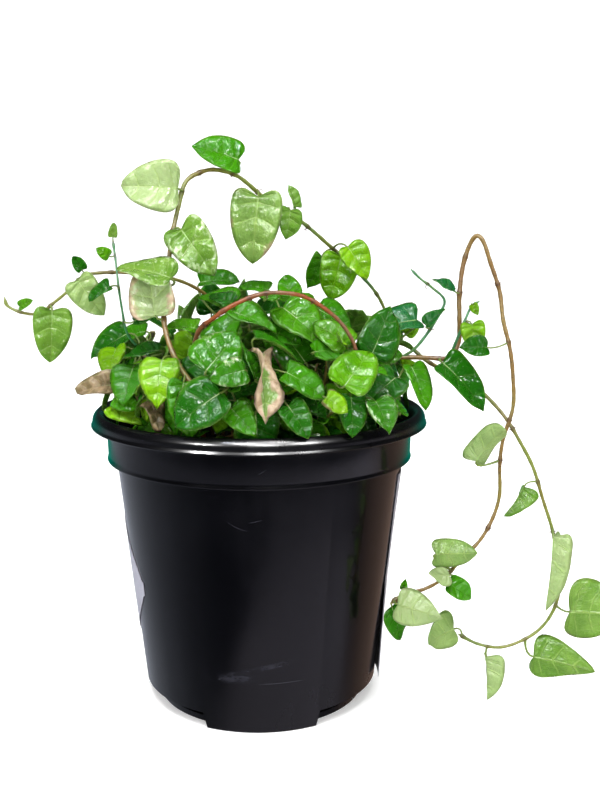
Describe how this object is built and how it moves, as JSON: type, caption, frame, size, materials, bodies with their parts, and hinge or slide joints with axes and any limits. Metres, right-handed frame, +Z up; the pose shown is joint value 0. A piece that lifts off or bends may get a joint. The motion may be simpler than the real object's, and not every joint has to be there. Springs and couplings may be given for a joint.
{
  "type": "potted creeping fig",
  "caption": "Bushy creeping fig with arching and trailing leafy stems, growing in a black tapered nursery pot with a white wrap-around label.",
  "frame": {"origin": "on the pot's axis, at the ground the pot stands on", "axes": "+Z up along the pot's axis; -Y towards the viewer of the picture, the side opposite the label's middle; +X to the viewer's right, where the two trailing stems hang"},
  "size_m": [0.1951, 0.1118, 0.1827],
  "materials": {
    "pot_plastic": "thin moulded black plastic, glossy, lightly scuffed",
    "label_paper": "plain white coated paper, slight sheen",
    "soil": null,
    "mat_foliage": null,
    "trailing_foliage": null
  },
  "bodies": {
    "root": {"pot": "pot_plastic", "wrap_label": "label_paper", "potting_soil": "soil", "tall_arch": "trailing_foliage", "left_runner": "trailing_foliage", "thin_shoot": "mat_foliage", "red_arch": "mat_foliage", "big_arch": "trailing_foliage", "second_trail": "trailing_foliage", "front_stem_1": "mat_foliage", "front_stem_2": "mat_foliage", "front_stem_3": "mat_foliage", "front_stem_4": "mat_foliage", "front_stem_5": "mat_foliage", "front_stem_6": "mat_foliage", "front_stem_7": "mat_foliage", "front_stem_8": "mat_foliage", "front_stem_9": "mat_foliage", "front_stem_10": "mat_foliage", "front_stem_11": "mat_foliage", "mat_stem_1": "mat_foliage", "mat_stem_2": "mat_foliage", "mat_stem_3": "mat_foliage", "mat_stem_4": "mat_foliage", "mat_stem_5": "mat_foliage", "mat_stem_6": "mat_foliage", "mat_stem_7": "mat_foliage", "mat_stem_8": "mat_foliage", "mat_stem_9": "mat_foliage", "mat_stem_10": "mat_foliage", "mat_stem_11": "mat_foliage", "mat_stem_12": "mat_foliage", "mat_stem_13": "mat_foliage", "mat_stem_14": "mat_foliage", "mat_stem_15": "mat_foliage", "mat_stem_16": "mat_foliage", "mat_stem_17": "mat_foliage", "mat_stem_18": "mat_foliage", "mat_stem_19": "mat_foliage", "mat_stem_20": "mat_foliage", "mat_stem_21": "mat_foliage", "mat_stem_22": "mat_foliage", "mat_stem_23": "mat_foliage", "mat_stem_24": "mat_foliage", "mat_stem_25": "mat_foliage", "mat_stem_26": "mat_foliage", "mat_stem_27": "mat_foliage", "mat_stem_28": "mat_foliage", "mat_stem_29": "mat_foliage", "mat_stem_30": "mat_foliage"}
  },
  "joints": []
}
